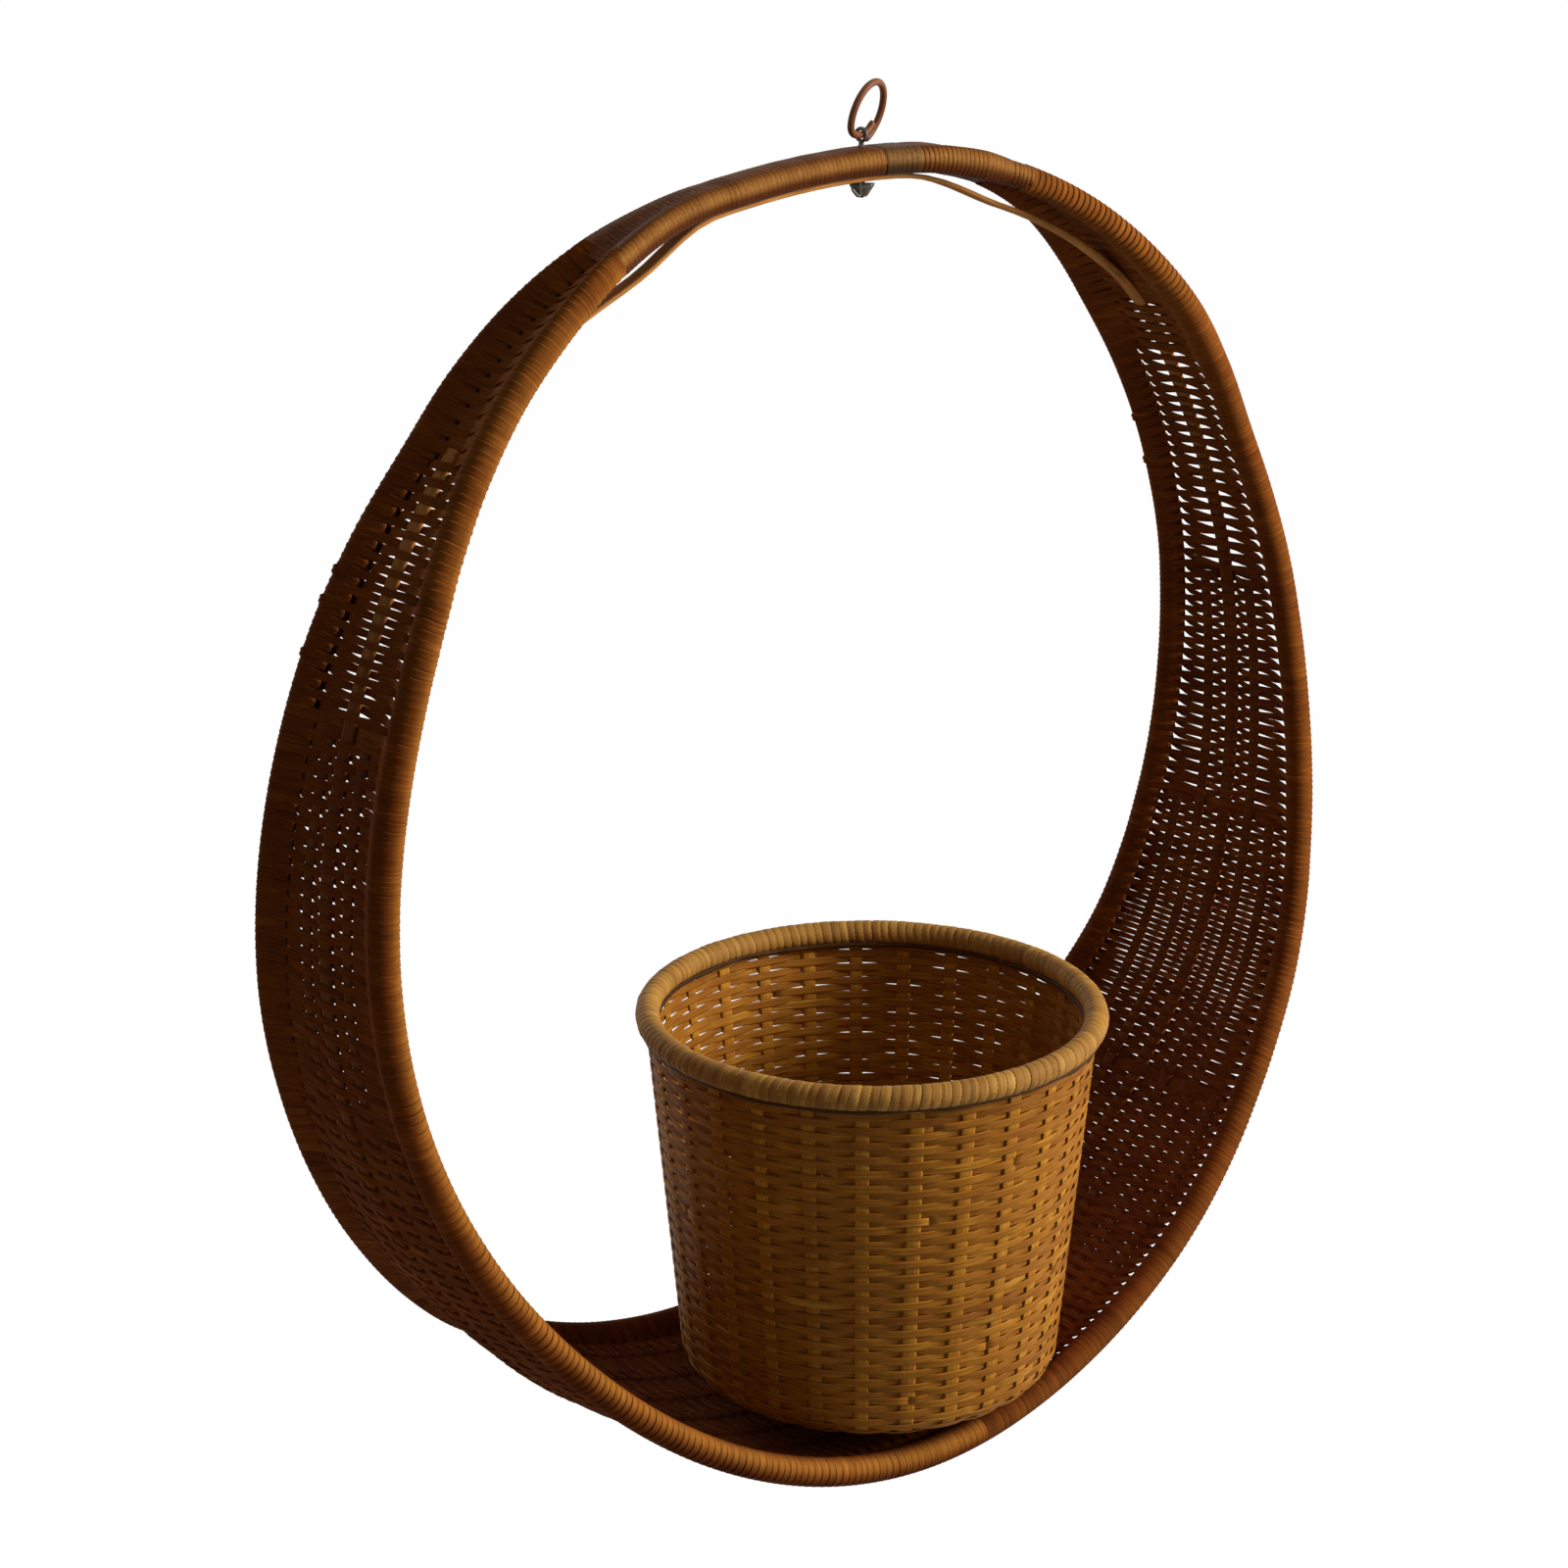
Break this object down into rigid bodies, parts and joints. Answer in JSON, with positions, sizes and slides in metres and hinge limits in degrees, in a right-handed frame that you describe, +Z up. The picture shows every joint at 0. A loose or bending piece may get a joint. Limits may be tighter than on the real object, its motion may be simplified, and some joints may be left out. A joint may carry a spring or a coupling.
{
  "type": "hanging plant holder",
  "caption": "Woven cane hoop with a broad floor that carries a loose tapered basket for a potted plant, hung by a small cane ring on a wire eye.",
  "frame": {"origin": "the point inside the top of the hanging ring that rests on a hook", "axes": "+Z up, +X across the hoop, +Y from its front rim to its rear rim"},
  "size_m": [0.5736, 0.2376, 0.6487],
  "materials": {
    "rattan_pole": "split cane pole, hidden under its binding",
    "wrapped_strand": "dark amber wound cane, worn satin",
    "dark_strand": "dark stained wound cane, satin",
    "hoop_weave": "dark brown woven cane, dull",
    "flat_lath": "flat splint, amber, satin",
    "ring_cane": "bent round cane, satin",
    "iron_wire": "dull weathered iron wire",
    "basket_weave": "honey brown woven cane, satin",
    "basket_stake": "flat honey brown splint, satin",
    "basket_rim": "wrapped cane rim, worn satin"
  },
  "bodies": {
    "hoop": {"front_rim": "rattan_pole", "rear_rim": "rattan_pole", "crown_binding_left": "wrapped_strand", "crown_patch": "dark_strand", "crown_binding_right": "wrapped_strand", "shoulder_weave_left": "hoop_weave", "shoulder_weave_right": "hoop_weave", "side_weave_left": "hoop_weave", "side_weave_right": "hoop_weave", "lower_weave_left": "hoop_weave", "lower_weave_right": "hoop_weave", "floor_weave_left": "hoop_weave", "floor_weave_right": "hoop_weave", "centre_lath": "flat_lath", "inner_rib_front": "flat_lath", "inner_rib_rear": "flat_lath", "middle_rib_front": "flat_lath", "middle_rib_rear": "flat_lath", "outer_rib_front": "flat_lath", "outer_rib_rear": "flat_lath", "hanger_wire": "iron_wire"},
    "ring": {"hang_ring": "ring_cane"},
    "basket": {"basket_wall": "basket_weave", "basket_base": "basket_weave", "rim_binding": "basket_rim", "rim_core": "rattan_pole", "stake_01": "basket_stake", "stake_02": "basket_stake", "stake_03": "basket_stake", "stake_04": "basket_stake", "stake_05": "basket_stake", "stake_06": "basket_stake", "stake_07": "basket_stake", "stake_08": "basket_stake", "stake_09": "basket_stake", "stake_10": "basket_stake", "stake_11": "basket_stake", "stake_12": "basket_stake", "stake_13": "basket_stake", "stake_14": "basket_stake", "stake_15": "basket_stake", "stake_16": "basket_stake", "stake_17": "basket_stake", "stake_18": "basket_stake", "stake_19": "basket_stake", "stake_20": "basket_stake", "stake_21": "basket_stake", "stake_22": "basket_stake", "stake_23": "basket_stake", "stake_24": "basket_stake", "stake_25": "basket_stake", "stake_26": "basket_stake", "stake_27": "basket_stake"}
  },
  "joints": [
    {"name": "ring_swing", "type": "hinge", "parent": "hoop", "child": "ring", "pos_m": [-0.00208, 0.00623, -0.02203], "axis": [0.9269, 0.3748, 0.0184], "range_deg": [-121, 85]},
    {"name": "basket_lift", "type": "slide", "parent": "hoop", "child": "basket", "axis": [0, 0, 1], "range_m": [0, 0.15]}
  ]
}
